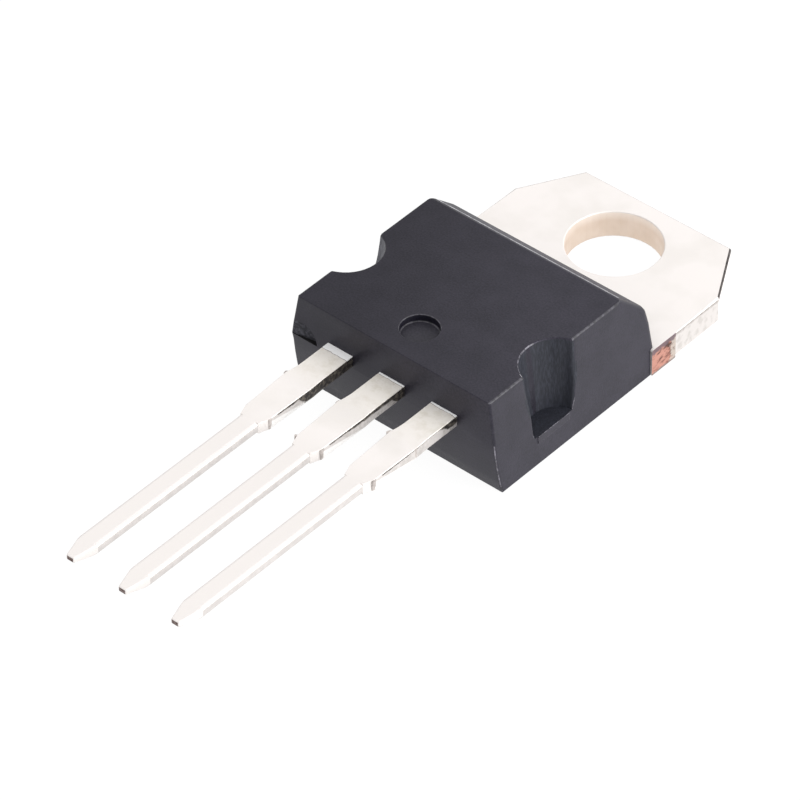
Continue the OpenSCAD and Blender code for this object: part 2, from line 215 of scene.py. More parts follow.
def tinPlate():
    # Matt tin over rolled copper strip: a pale, warm, silky white metal with faint
    # lengthwise rolling lines and a fine crystal grain. Towards the body the leads are
    # stained a little olive, and at their roots a ragged rim of thicker plating, its white partly
    # a painted highlight, starts behind a thin tan line; it is widest on the left lead
    look = {"base": "#f1ece9", "grey": "#ece7e3", "thickLit": "#ffffff", "seam": "#7f7468",
            "line": 0.05, "stretch": 0.04, "grain": 0.05, "cloud": 1.8, "height": 0.002,
            "roughness": 0.58, "smoother": 0.05, "rougher": 0.07, "metal": 0.4,
            "ragged": 0.25, "wander": 0.12, "rimFrom": -13.28, "rimTo": -13.06, "inside": -12.6,
            "leftLead": -1.9, "shorter": 0.24,
            "narrow": "#eae5e2", "narrowFrom": -18.4, "narrowTo": -16.6,
            "stain": 0.35, "stainDark": "#eae4da", "stainPale": "#f5f0e9",
            "stainFrom": -15.4, "stainTo": -13.8}
    material, tree, shader, where = newMaterial("tinPlate")
    stretched = node(tree, "ShaderNodeMapping", {"Scale": (1, look["stretch"], 1)},
                     {"Vector": where})
    lines = node(tree, "ShaderNodeTexNoise", {"Scale": perMetre(look["line"]), "Detail": 2.0},
                 {"Vector": stretched.outputs[0]})
    grain = node(tree, "ShaderNodeTexNoise", {"Scale": perMetre(look["grain"]), "Detail": 3.0},
                 {"Vector": where})
    cloud = node(tree, "ShaderNodeTexNoise", {"Scale": perMetre(look["cloud"]), "Detail": 3.0},
                 {"Vector": where})
    plain = node(tree, "ShaderNodeValToRGB", links={"Fac": cloud.outputs["Fac"]},
                 stops=[(0.38, look["grey"]), (0.56, look["base"])]).outputs["Color"]
    place = node(tree, "ShaderNodeSeparateXYZ", links={0: where})
    stain = node(tree, "ShaderNodeTexNoise", {"Scale": perMetre(look["stain"]), "Detail": 4.0,
                                              "Roughness": 0.6}, {"Vector": where})
    stained = node(tree, "ShaderNodeValToRGB", links={"Fac": stain.outputs["Fac"]},
                   stops=[(0.36, look["stainDark"]), (0.55, look["stainPale"])]).outputs["Color"]
    toBody = node(tree, "ShaderNodeMapRange", {"From Min": look["stainFrom"] * mm,
                                               "From Max": look["stainTo"] * mm},
                  {"Value": place.outputs["Y"]})
    onLead = node(tree, "ShaderNodeMath", {"operation": "LESS_THAN", 1: look["inside"] * mm},
                  {0: place.outputs["Y"]})
    stainShare = node(tree, "ShaderNodeMath", {"operation": "MULTIPLY"},
                      {0: toBody.outputs[0], 1: onLead.outputs[0]})
    colour = node(tree, "ShaderNodeMix", {"data_type": "RGBA"},
                  {0: stainShare.outputs[0], 6: plain, 7: stained}).outputs[2]
    wander = node(tree, "ShaderNodeTexNoise", {"Scale": perMetre(look["ragged"]), "Detail": 3.0},
                  {"Vector": where})
    others = node(tree, "ShaderNodeMath", {"operation": "GREATER_THAN", 1: look["leftLead"] * mm},
                  {0: place.outputs["X"]})
    shifted = node(tree, "ShaderNodeMath", {"operation": "MULTIPLY_ADD", 1: -look["shorter"] * mm},
                   {0: others.outputs[0], 2: place.outputs["Y"]})
    pushed = node(tree, "ShaderNodeMath", {"operation": "MULTIPLY_ADD", 1: look["wander"] * mm},
                  {0: wander.outputs["Fac"], 2: shifted.outputs[0]})
    root = node(tree, "ShaderNodeMapRange", {"From Min": look["rimFrom"] * mm,
                                             "From Max": look["rimTo"] * mm},
                {"Value": pushed.outputs[0]})
    rim = node(tree, "ShaderNodeMath", {"operation": "MULTIPLY"},
               {0: root.outputs[0], 1: onLead.outputs[0]})
    # the root rim: thicker plating, its white and lack of metal a painted highlight
    code = node(tree, "ShaderNodeValToRGB", links={"Fac": rim.outputs[0]},
                stops=[(0.4, look["base"]), (0.5, look["seam"]),
                       (0.6, look["thickLit"]), (1.0, look["thickLit"])]).outputs["Color"]
    share = node(tree, "ShaderNodeValToRGB", links={"Fac": rim.outputs[0]},
                 stops=[(0.38, 0.0), (0.44, 1.0)]).outputs["Color"]
    beyond = node(tree, "ShaderNodeMapRange", {"From Min": look["narrowTo"] * mm,
                                               "From Max": look["narrowFrom"] * mm},
                  {"Value": place.outputs["Y"]})
    calm = node(tree, "ShaderNodeMix", {"data_type": "RGBA", 7: srgb(look["narrow"])},
                {0: beyond.outputs[0], 6: colour})
    tint = node(tree, "ShaderNodeMix", {"data_type": "RGBA"},
                {0: share, 6: calm.outputs[2], 7: code})
    tree.links.new(tint.outputs[2], shader.inputs["Base Color"])
    metal = node(tree, "ShaderNodeMapRange", {"To Min": look["metal"], "To Max": 0.0},
                 {"Value": share})
    tree.links.new(metal.outputs[0], shader.inputs["Metallic"])
    rough = node(tree, "ShaderNodeMapRange", {"From Min": noiseLow, "From Max": noiseHigh,
                                              "To Min": look["roughness"] - look["smoother"],
                                              "To Max": look["roughness"] + look["rougher"]},
                 {"Value": cloud.outputs["Fac"]})
    tree.links.new(rough.outputs[0], shader.inputs["Roughness"])
    height = node(tree, "ShaderNodeMath", {"operation": "ADD"},
                  {0: lines.outputs["Fac"], 1: grain.outputs["Fac"]})
    bump = node(tree, "ShaderNodeBump", {"Strength": 0.25, "Distance": look["height"] * mm},
                {"Height": height.outputs[0]})
    tree.links.new(bump.outputs[0], shader.inputs["Normal"])
    return material


def punchedEdge(name, low, high, dark, line, thicker, shadedTo):
    # The punched sides of the strip, tinned after punching: pale and lightly mottled, with
    # a thin line of painted shade under the upper edge. Along the leads that line grows
    # towards the body by thicker, in shares of the side's height, and from the body out to the
    # place given last the whole side is in blotchy painted shade. Further out the lower part of
    # the side gets a painted white highlight
    look = {"pale": "#d9d4d1", "mottle": "#cbc6c2", "spot": 0.3, "height": 0.008,
            "streak": 0.3, "ragged": 0.3, "cutFrom": -17.5, "cutTo": -17.0,
            "rootFrom": -16.6, "rootTo": -12.9,
            "lit": "#faf8f6", "litFrom": -14.8, "litTo": -17.5, "litUp": 0.8, "litSoft": 0.15,
            "rootShadeRun": 0.4, "rootShadeMore": 0.6, "soft": 0.12, "blotch": 0.16,
            "blotchFrom": 0.53, "blotchTo": 0.6, "shadeBlotch": "#857d72"}
    material, tree, shader, where = newMaterial(name)
    place = node(tree, "ShaderNodeSeparateXYZ", links={0: where})
    spots = node(tree, "ShaderNodeTexNoise", {"Scale": perMetre(look["spot"]), "Detail": 4.0},
                 {"Vector": where})
    streaks = node(tree, "ShaderNodeTexNoise", {"Scale": perMetre(look["streak"]), "Detail": 4.0},
                   {"Vector": where})
    colour = node(tree, "ShaderNodeValToRGB", links={"Fac": spots.outputs["Fac"]},
                  stops=[(0.38, look["mottle"]), (0.52, look["pale"])]).outputs["Color"]
    rise = node(tree, "ShaderNodeMapRange", {"From Min": low, "From Max": high},
                {"Value": place.outputs["Z"]})
    # painted highlight: further out, the lower part of the side turns white
    lift = node(tree, "ShaderNodeMapRange", {"From Min": look["litFrom"] * mm,
                                             "From Max": look["litTo"] * mm,
                                             "To Max": look["litUp"]},
                {"Value": place.outputs["Y"]})
    below = node(tree, "ShaderNodeMath", {"operation": "SUBTRACT"},
                 {0: lift.outputs[0], 1: rise.outputs[0]})
    litShare = node(tree, "ShaderNodeMapRange", {"From Max": look["litSoft"]},
                    {"Value": below.outputs[0]})
    colour = node(tree, "ShaderNodeMix", {"data_type": "RGBA", 7: srgb(look["lit"])},
                  {0: litShare.outputs[0], 6: colour}).outputs[2]
    # painted shade: a line under the upper edge, none past the dam bar, growing towards the body
    cut = node(tree, "ShaderNodeMapRange", {"From Min": look["cutFrom"] * mm,
                                            "From Max": look["cutTo"] * mm,
                                            "To Min": -1.0, "To Max": line},
               {"Value": place.outputs["Y"]})
    root = node(tree, "ShaderNodeMapRange", {"From Min": look["rootFrom"] * mm,
                                             "From Max": look["rootTo"] * mm,
                                             "To Max": thicker},
                {"Value": place.outputs["Y"]})
    rootShade = node(tree, "ShaderNodeMapRange", {"From Min": (shadedTo - look["rootShadeRun"]) * mm,
                                                "From Max": shadedTo * mm,
                                                "To Max": look["rootShadeMore"]},
                   {"Value": place.outputs["Y"]})
    rooted = node(tree, "ShaderNodeMath", {"operation": "ADD"},
                  {0: root.outputs[0], 1: rootShade.outputs[0]})
    width = node(tree, "ShaderNodeMath", {"operation": "ADD"},
                 {0: cut.outputs[0], 1: rooted.outputs[0]})
    ragged = node(tree, "ShaderNodeMath", {"operation": "MULTIPLY_ADD", 1: look["ragged"]},
                  {0: streaks.outputs["Fac"], 2: rise.outputs[0]})
    reach = node(tree, "ShaderNodeMath", {"operation": "ADD"},
                 {0: ragged.outputs[0], 1: width.outputs[0]})
    full = 1 + look["ragged"] / 2  # the reach at which the side is wholly in painted shade
    shade = node(tree, "ShaderNodeMapRange", {"From Min": full - look["soft"], "From Max": full},
                 {"Value": reach.outputs[0]})
    crumbs = node(tree, "ShaderNodeTexNoise", {"Scale": perMetre(look["blotch"]), "Detail": 4.0,
                                               "Roughness": 0.65}, {"Vector": where})
    blotches = node(tree, "ShaderNodeMapRange", {"From Min": look["blotchFrom"],
                                                 "From Max": look["blotchTo"]},
                    {"Value": crumbs.outputs["Fac"]})
    nearBody = node(tree, "ShaderNodeMath", {"operation": "MULTIPLY"},
                    {0: blotches.outputs[0], 1: rooted.outputs[0]})
    paintedShadeShare = node(tree, "ShaderNodeMath", {"operation": "MAXIMUM"},
                     {0: shade.outputs[0], 1: nearBody.outputs[0]})
    paintedShadeColour = node(tree, "ShaderNodeValToRGB", links={"Fac": crumbs.outputs["Fac"]},
                    stops=[(0.3, dark), (0.45, dark), (0.7, look["shadeBlotch"])]).outputs["Color"]
    tint = node(tree, "ShaderNodeMix", {"data_type": "RGBA"},
                {0: paintedShadeShare.outputs[0], 6: colour, 7: paintedShadeColour})
    tree.links.new(tint.outputs[2], shader.inputs["Base Color"])
    bump = node(tree, "ShaderNodeBump", {"Strength": 0.5, "Distance": look["height"] * mm},
                {"Height": spots.outputs["Fac"]})
    tree.links.new(bump.outputs[0], shader.inputs["Normal"])
    shader.inputs["Metallic"].default_value = 0.6
    shader.inputs["Roughness"].default_value = 0.5
    return material


def punchedBore():
    # The wall of the screw hole: thin tin over copper, so it shows warm and tan,
    # and a little paler at the upper rim
    look = {"rim": "#f5eae0", "light": "#ead9ca", "dark": "#e2cfbe", "rimFrom": 0.8, "cloud": 0.9}
    material, tree, shader, where = newMaterial("punchedBore")
    cloud = node(tree, "ShaderNodeTexNoise", {"Scale": perMetre(look["cloud"]), "Detail": 2.0},
                 {"Vector": where})
    colour = node(tree, "ShaderNodeValToRGB", links={"Fac": cloud.outputs["Fac"]},
                  stops=[(0.35, look["dark"]), (0.65, look["light"])]).outputs["Color"]
    place = node(tree, "ShaderNodeSeparateXYZ", links={0: where})
    rim = node(tree, "ShaderNodeMapRange", {"From Min": look["rimFrom"] * mm, "From Max": tabTop},
               {"Value": place.outputs["Z"]})
    tint = node(tree, "ShaderNodeMix", {"data_type": "RGBA", 7: srgb(look["rim"])},
                {0: rim.outputs[0], 6: colour})
    tree.links.new(tint.outputs[2], shader.inputs["Base Color"])
    shader.inputs["Metallic"].default_value = 0.85
    shader.inputs["Roughness"].default_value = 0.45
    return material


def tornCopper():
    # Copper laid bare where the tie bar was sheared off: salmon pink at the body, then
    # red-brown drag marks, a grey-purple upper rim, and tin smeared over the far end
    look = {"copper": "#c89080", "deep": "#a06c5d", "dark": "#54372f", "tin": "#c9beb4",
            "rim": "#6d5c63", "sill": "#8d827e", "streak": 0.24, "slant": 0.75, "stretch": 0.5,
            "height": 0.012, "spot": 0.22, "from": -3.92, "to": -2.52, "darker": -0.14,
            "cover": 0.9, "smear": (1.12, 1.24), "rimAt": (0.93, 1.01), "sillAt": (0.18, 0.14)}
    material, tree, shader, where = newMaterial("tornCopper")
    slanted = node(tree, "ShaderNodeMapping", {"Scale": (1, look["stretch"], 1),
                                               "Rotation": (look["slant"], 0, 0)},
                   {"Vector": where})
    streaks = node(tree, "ShaderNodeTexNoise", {"Scale": perMetre(look["streak"]), "Detail": 5.0,
                                                "Roughness": 0.65}, {"Vector": slanted.outputs[0]})
    spots = node(tree, "ShaderNodeTexNoise", {"Scale": perMetre(look["spot"]), "Detail": 4.0},
                 {"Vector": where})
    place = node(tree, "ShaderNodeSeparateXYZ", links={0: where})
    along = node(tree, "ShaderNodeMapRange", {"From Min": look["from"] * mm,
                                              "From Max": look["to"] * mm},
                 {"Value": place.outputs["Y"]})
    level = node(tree, "ShaderNodeMapRange", {"From Max": tabTop}, {"Value": place.outputs["Z"]})
    marked = node(tree, "ShaderNodeMath", {"operation": "MULTIPLY_ADD", 1: look["darker"]},
                  {0: along.outputs[0], 2: streaks.outputs["Fac"]})
    colour = node(tree, "ShaderNodeValToRGB", links={"Fac": marked.outputs[0]},
                  stops=[(0.33, look["dark"]), (0.4, look["deep"]),
                         (0.48, look["copper"]), (0.7, look["copper"])]).outputs["Color"]

    def laid(below, push, at, code, limits):
        # one more colour where the place, pushed about by the spots, goes between the limits
        pushed = node(tree, "ShaderNodeMath", {"operation": "MULTIPLY_ADD", 1: push},
                      {0: spots.outputs["Fac"], 2: at})
        share = node(tree, "ShaderNodeMapRange", {"From Min": limits[0], "From Max": limits[1],
                                                  "To Max": look["cover"]},
                     {"Value": pushed.outputs[0]})
        return node(tree, "ShaderNodeMix", {"data_type": "RGBA", 7: srgb(code)},
                    {0: share.outputs[0], 6: below}).outputs[2]

    colour = laid(colour, 0.7, along.outputs[0], look["tin"], look["smear"])
    colour = laid(colour, 0.3, level.outputs[0], look["rim"], look["rimAt"])
    colour = laid(colour, 0.2, level.outputs[0], look["sill"], look["sillAt"])
    tree.links.new(colour, shader.inputs["Base Color"])
    bump = node(tree, "ShaderNodeBump", {"Strength": 0.6, "Distance": look["height"] * mm},
                {"Height": streaks.outputs["Fac"]})
    tree.links.new(bump.outputs[0], shader.inputs["Normal"])
    shader.inputs["Metallic"].default_value = 0.6
    shader.inputs["Roughness"].default_value = 0.45
    return material


def clippedEnd():
    # Lead ends cut after plating: dull copper gone brown-grey in the air
    look = {"brown": "#5e4a46", "grey": "#8d7f7c", "grain": 0.08, "height": 0.01}
    material, tree, shader, where = newMaterial("clippedEnd")
    grain = node(tree, "ShaderNodeTexNoise", {"Scale": perMetre(look["grain"]), "Detail": 3.0},
                 {"Vector": where})
    colour = node(tree, "ShaderNodeValToRGB", links={"Fac": grain.outputs["Fac"]},
                  stops=[(0.4, look["brown"]), (0.65, look["grey"])]).outputs["Color"]
    tree.links.new(colour, shader.inputs["Base Color"])
    bump = node(tree, "ShaderNodeBump", {"Strength": 0.5, "Distance": look["height"] * mm},
                {"Height": grain.outputs["Fac"]})
    tree.links.new(bump.outputs[0], shader.inputs["Normal"])
    shader.inputs["Metallic"].default_value = 0.7
    shader.inputs["Roughness"].default_value = 0.6
    return material


def mottledGreyTin(name, pale, dark, spot):
    # Tin in a lightly mottled grey: light grey as painted shade on the leads' crowns, narrow sides
    # and far rims; dark as painted reflection on the tab's sheared corner, as painted shade by the
    # body
    material, tree, shader, where = newMaterial(name)
    spots = node(tree, "ShaderNodeTexNoise", {"Scale": perMetre(spot), "Detail": 3.0},
                 {"Vector": where})
    colour = node(tree, "ShaderNodeValToRGB", links={"Fac": spots.outputs["Fac"]},
                  stops=[(0.4, dark), (0.6, pale)]).outputs["Color"]
    tree.links.new(colour, shader.inputs["Base Color"])
    shader.inputs["Metallic"].default_value = 0.6
    shader.inputs["Roughness"].default_value = 0.5
    return material


def innerMetal(name, light, dark, size, roughness):
    # Sealed pieces: silicon, solder and drawn aluminium wire, each a plain metal with its grain
    material, tree, shader, where = newMaterial(name)
    grain = node(tree, "ShaderNodeTexNoise", {"Scale": perMetre(size), "Detail": 3.0},
                 {"Vector": where})
    colour = node(tree, "ShaderNodeValToRGB", links={"Fac": grain.outputs["Fac"]},
                  stops=[(0.35, dark), (0.65, light)]).outputs["Color"]
    tree.links.new(colour, shader.inputs["Base Color"])
    shader.inputs["Metallic"].default_value = 1.0
    shader.inputs["Roughness"].default_value = roughness
    return material


epoxy = mouldedEpoxy("mouldedEpoxy", roughness=0.42, gloss=0.38)
coarse = mouldedEpoxy("coarseEpoxy", roughness=0.55, gloss=0.6)
# painted highlights: a bright one, a dim one, and a pale glint for the rear edge
edgeHighlight = highlightEpoxy("highlightEpoxy", "#2a292f", "#7c7983")
dimHighlight = highlightEpoxy("dimHighlightEpoxy", "#2a292f", "#4f4d55")
glintHighlight = highlightEpoxy("glintHighlightEpoxy", "#98969d", "#d6d4da")
scored = scoredEpoxy("scoredEpoxy", "#1f2129", "#2f313b")
grazingSheen = scoredEpoxy("grazingSheenEpoxy", "#4c4c53", "#6a6a72")  # the left notch, painted paler as a grazing sheen
# painted shade on the pin mark's wall, painted light on its floor
shadedPinWall = pinMarkShading("shadedPinWall", "#0b0a16", "#14121f")
litPinFloor = pinMarkShading("litPinFloor", "#292830", "#33313a")
broken = brokenEpoxy("brokenEpoxy", "#2a2a30", "#57575f")
# painted shade: the near black copy for the gate scar's wall
shadedGateWall = brokenEpoxy("shadedGateWall", "#030304", "#15151a")
tin = tinPlate()
noRootShade = 40  # a place past the tab's end, so that nothing of its edge gets the painted shade of the lead roots
tabEdge = punchedEdge("punchedTabEdge", tabLow.z, tabTop, "#a9a29e", line=0.04, thicker=0.0,
                      shadedTo=noRootShade)
# for each lead's sides: how much the painted shade line grows, and where the painted shade by the
# body ends
leadEdges = [punchedEdge("punched" + place + "Lead", leadLow.z, leadHigh.z, "#34302f",
                         line=0.12, thicker=thicker, shadedTo=shadedTo)
             for place, thicker, shadedTo in (("Left", 0.5, -15.5), ("Middle", 0.36, -13.2),
                                            ("Right", -0.16, -13.4))]
# painted shade: greys for the slim leads' sides and crowns
shadedNarrowSide = mottledGreyTin("shadedNarrowSide", "#d6d1ce", "#cdc8c5", spot=0.4)
shadedCrown = mottledGreyTin("shadedCrown", "#e4dfdc", "#dcd7d4", spot=0.4)
bore = punchedBore()
copper = tornCopper()
cutEnd = clippedEnd()
# painted shade: grey for the frame's far rims; dark for the sheared corner and the strips by the
# body
farRim = mottledGreyTin("farRim", "#cfc7c2", "#a8a09c", spot=0.3)
shadedCutRim = mottledGreyTin("shadedCutRim", "#5f5957", "#3c3837", spot=0.25)
print("materials made")


# softening of the solids, in millimetres and degrees
softLook = {"widest": 0.3, "segments": 3, "weld": 0.0005, "level": 0.4, "sharpFrom": 28,
            "flatArea": 0.08, "curveFrom": 0.4, "curveTo": 7, "mergeTo": 9, "creaseFrom": 36}
noAngle = 4  # in radians and past any real angle, for a face too small to have a direction


def settleNormals(mesh):
    # Flat faces are shaded flat; roundings and curved walls run smoothly into them
    work = bmesh.new()
    work.from_mesh(mesh)
    low, high, merge, crease = (math.radians(softLook[k])
                                for k in ("curveFrom", "curveTo", "mergeTo", "creaseFrom"))

    def bends(face):
        found = 0
        for edge in face.edges:
            pair = edge.link_faces
            if len(pair) == 2 and not any(side.material_index for side in pair):
                found += low < edge.calc_face_angle() < high
        return found

    large = {face for face in work.faces if not face.material_index and bends(face) < 2
             and face.calc_area() > softLook["flatArea"] * mm * mm}
    flat = {}
    for face in large:
        total = face.normal * face.calc_area()
        for side in {side for edge in face.edges for side in edge.link_faces} & large - {face}:
            if side.normal.angle(face.normal, noAngle) < merge:
                total += side.normal * side.calc_area()
        flat[face] = total.normalized()

    def settled(face, vert):
        if face in flat:
            return flat[face]
        fan, queue = {face}, [face]
        while queue:
            here = queue.pop()
            for edge in here.edges:
                if vert not in edge.verts:
                    continue
                for side in edge.link_faces:
                    if side not in fan and here.normal.angle(side.normal, noAngle) < crease:
                        fan.add(side)
                        queue.append(side)
        level = [flat[side] for side in fan if side in flat]
        if level:
            return max(level, key=face.normal.dot)
        return sum((side.normal for side in fan), Vector()).normalized()

    normals = [settled(face, loop.vert) for face in work.faces for loop in face.loops]
    mesh.normals_split_custom_set(normals)
    work.free()


def soften(name, source, widthAt, plain, edged):
    # A copy of a solid with the small rounded edges that moulding and stamping leave.
    # widthAt(middle, along) is the rounding at a sharp edge, from the place of the edge's
    # middle and its direction; places and roundings are in millimetres.
    mesh = nodes[source].data.copy()
    piece = bpy.data.objects.new(name, mesh)
    bpy.context.scene.collection.objects.link(piece)
    work = bmesh.new()
    work.from_mesh(mesh)
    bmesh.ops.remove_doubles(work, verts=work.verts, dist=softLook["weld"] * mm)
    bmesh.ops.dissolve_limit(work, angle_limit=math.radians(softLook["level"]),
                             verts=work.verts, edges=work.edges)
    weight = work.edges.layers.float.new("bevel_weight_edge")
    sharp = math.radians(softLook["sharpFrom"])
    for edge in work.edges:
        if len(edge.link_faces) == 2 and edge.calc_face_angle() > sharp:
            first, last = (vert.co / mm for vert in edge.verts)
            width = widthAt((first + last) / 2, (last - first).normalized())
            edge[weight] = width / softLook["widest"]
    for face in work.faces:
        face.smooth = True
        face.material_index = 0
    work.to_mesh(mesh)
    work.free()
    mesh.materials.clear()
    mesh.materials.append(plain)
    mesh.materials.append(edged)
    bevel = piece.modifiers.new("edges", "BEVEL")
    bevel.width = softLook["widest"] * mm
    bevel.segments = softLook["segments"]
    bevel.limit_method = "WEIGHT"
    bevel.material = 1
    bevel.use_clamp_overlap = False
    bpy.context.view_layer.update()
    softened = piece.evaluated_get(bpy.context.evaluated_depsgraph_get())
    result = bpy.data.meshes.new_from_object(softened)
    piece.modifiers.clear()
    piece.data = result
    result.name = name
    settleNormals(result)
    return piece


def paint(piece, materials, choose):
    # choose(centre, normal, onEdge) gives each face's material; onEdge is true on a rounding
    mesh = piece.data
    edged = [face.material_index == 1 for face in mesh.polygons]
    mesh.materials.clear()
    for material in materials:
        mesh.materials.append(material)
    for face, onEdge in zip(mesh.polygons, edged):
        face.material_index = materials.index(choose(face.center / mm, face.normal, onEdge))


def dress(piece, node):
    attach(piece, "root")
    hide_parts(node)


# the epoxy body, in millimetres
bodyLook = {
    "edge": 0.06, "rearEdge": 0.12, "rearCorner": 0.26, "frontCorner": 0.1, "small": 0.012,
    "topZone": 0.05, "sideFrom": 4.5, "frontFrom": -12.3, "rearFrom": -5.5, "kneeFrom": 1.25,
    "notch": (5.15, -9.55), "notchReach": 1.5, "leftReach": 1.55, "notchFloor": 1.3,
    "flatFrom": 4.93, "notchEnd": 0.18, "notchFoot": 0.02, "notchEnds": (0.9, 1.6),
    "deepTo": -4.6, "nearWall": -9.2, "lipFrom": 4.9, "lipReach": 1.3, "lipMiddle": 0.5,
    "lipSide": 4.95, "lipEnd": 4.97, "lipTo": -11,
    "gate": (-4.47, 2.48), "gateReach": 0.8, "gateDepth": 0.3, "partingZ": 2.48, "parting": 0.02,
    "pinMark": (0, -11.3), "pinReach": 0.8, "pinRim": 0.03, "pinFoot": 0.045, "pinFrom": 4,
    "pinDepth": 0.1, "pinNear": 11.5, "roundTop": 0.12, "dimHighlightFrom": 3.9, "highlightFootTo": 2.4,
    "upright": 0.8, "levelFrom": 0.93, "flatSide": 0.99, "underTop": 0.1}
bodyTop = bodyHigh.z / mm
tabZ = tabTop / mm
bodyFront = bodyLow.y / mm
mostly, partly, tilted, slightly = 0.9, 0.3, 0.2, 0.1  # how far a direction leans to an axis
hair = 0.01


def nearNotch(at):
    x, y = bodyLook["notch"]
    return (math.hypot(abs(at.x) - x, at.y - y) < bodyLook["notchReach"]
            and abs(at.x) < bodyLook["flatFrom"])


def nearGate(at):
    x, z = bodyLook["gate"]
    return (at.y < bodyFront + bodyLook["gateDepth"]
            and math.hypot(at.x - x, at.z - z) < bodyLook["gateReach"]
            and at.z > bodyLook["partingZ"] - bodyLook["parting"])


def nearPin(at):
    fromPin = at.xy - Vector(bodyLook["pinMark"])
    return at.z > bodyLook["pinFrom"] and fromPin.length < bodyLook["pinReach"]


def bodyEdge(middle, along):
    side = abs(middle.x) > bodyLook["sideFrom"]
    front = middle.y < bodyLook["frontFrom"]
    rear = middle.y > bodyLook["rearFrom"]
    fromNotch = abs(middle.y - bodyLook["notch"][1])
    if nearGate(middle):
        return 0
    if middle.z < bodyLook["topZone"]:
        return bodyLook["small"] if side or front else 0
    if middle.z > bodyTop - bodyLook["topZone"]:
        if nearPin(middle):
            return bodyLook["pinRim"]
        return bodyLook["rearEdge"] if rear and abs(along.x) > mostly else bodyLook["edge"]
    if side and rear and middle.z > bodyLook["kneeFrom"]:
        return bodyLook["rearCorner"]
    low, high = bodyLook["notchEnds"]
    if side and abs(along.z) > bodyLook["upright"] and low < fromNotch < high:
        return bodyLook["notchEnd" if middle.z > bodyLook["partingZ"] else "notchFoot"]
    if abs(middle.x) > bodyLook["lipFrom"] and fromNotch < bodyLook["lipReach"]:
        return bodyLook["small"] if fromNotch < bodyLook["lipMiddle"] else 0
    if side and front:
        return bodyLook["frontCorner"]
    if nearPin(middle):
        return bodyLook["pinFoot"]
    return 0


def roundingFace(centre, normal):
    # finish of a rounded edge of the body, by where it is: painted highlights on the right notch's
    # rim, the top's right and rear edges, the lips and the lower front right corner; scored epoxy
    # in the notches, plain epoxy elsewhere
    if centre.z > bodyTop - bodyLook["roundTop"]:
        if nearNotch(centre):
            near = centre.x > 0 and centre.y < bodyLook["nearWall"]
            return edgeHighlight if near and normal.z > partly else epoxy
        if centre.x > bodyLook["dimHighlightFrom"] and normal.x > tilted:
            return dimHighlight
        steep = normal.z < bodyLook["levelFrom"]
        return glintHighlight if steep and normal.y > partly else epoxy
    if nearNotch(centre) and centre.z > bodyLook["notchFloor"]:
        return scored
    if abs(centre.x) > bodyLook["lipSide"] and centre.y > bodyLook["lipTo"]:
        return edgeHighlight
    corner = (centre.x > bodyLook["sideFrom"] and centre.y < bodyLook["frontFrom"]
              and centre.z < bodyLook["highlightFootTo"])
    return edgeHighlight if corner and abs(normal.x + normal.y) < partly else epoxy


def bodyFace(centre, normal, onEdge):
    x, y = bodyLook["notch"]
    # the gate scar: its walls painted near black as shade
    if nearGate(centre) and (normal.x > slightly or abs(normal.y) < mostly):
        return shadedGateWall if abs(normal.y) < mostly else broken
    # the pin mark: mostly a dim painted highlight on its rim, painted shade on its wall, painted
    # light on its floor
    if nearPin(centre) and (onEdge or centre.z < bodyTop - hair):
        if onEdge:
            near = (centre.z > bodyTop - bodyLook["pinDepth"]
                    and centre.x - centre.y > bodyLook["pinNear"])
            return epoxy if near else dimHighlight
        return litPinFloor if normal.z > mostly else shadedPinWall
    onWall = bodyLook["notchFloor"] < centre.z < bodyTop - bodyLook["underTop"]
    leftNotch = centre.x < 0 and (centre.xy - Vector((-x, y))).length < bodyLook["leftReach"]
    flatSide = abs(normal.x) >= bodyLook["flatSide"]
    # the left notch's wall: painted sheen
    if leftNotch and onWall and not (flatSide and centre.x <= bodyLook["deepTo"]):
        return grazingSheen
    if onEdge:
        return roundingFace(centre, normal)
    if nearNotch(centre) and onWall and not flatSide:
        return scored
    # painted light on the small end faces of the notch lips, against their shade
    if (abs(centre.x) > bodyLook["lipEnd"] and abs(normal.y) > mostly
            and centre.y > bodyLook["lipTo"]):
        return edgeHighlight
    return coarse if normal.y > partly and centre.z > tabZ else epoxy


body = soften("body", "moulded_body", bodyEdge, epoxy, edgeHighlight)
paint(body, [epoxy, coarse, edgeHighlight, dimHighlight, glintHighlight, scored, grazingSheen, shadedPinWall, litPinFloor, broken,
             shadedGateWall], bodyFace)
dress(body, "moulded_body")
print("body softened:", len(body.data.polygons), "faces")

# the stamped frame and leads, in millimetres
stampLook = {
    "edge": 0.03, "crown": 0.06, "tiny": 0.008, "holeReach": 2.05, "holeRim": 0.05,
    "farEdge": 0.06, "cutEdge": 0.1, "cutFrom": 0.15, "cutSide": 3.6, "rimSide": 3.5,
    "rimDepth": 0.12, "stub": (-4.0, -2.4), "stubSide": 4.8, "stubTo": -3.8,
    "damTo": 4.5, "damSlack": 0.1, "narrowFrom": 5.0, "narrowSlack": 0.05, "slimFrom": -17.45,
    "between": (-1.27, 1.27), "neckTo": -11.5, "tipDepth": 0.04, "sideSlack": 0.1,
    "topSlack": 0.02, "endFrom": 0.8, "flatFrom": 0.7, "crownTo": 0.92, "levelFrom": 0.6}
tabSide = tabHigh.x / mm
leadTip = leadLow.y / mm


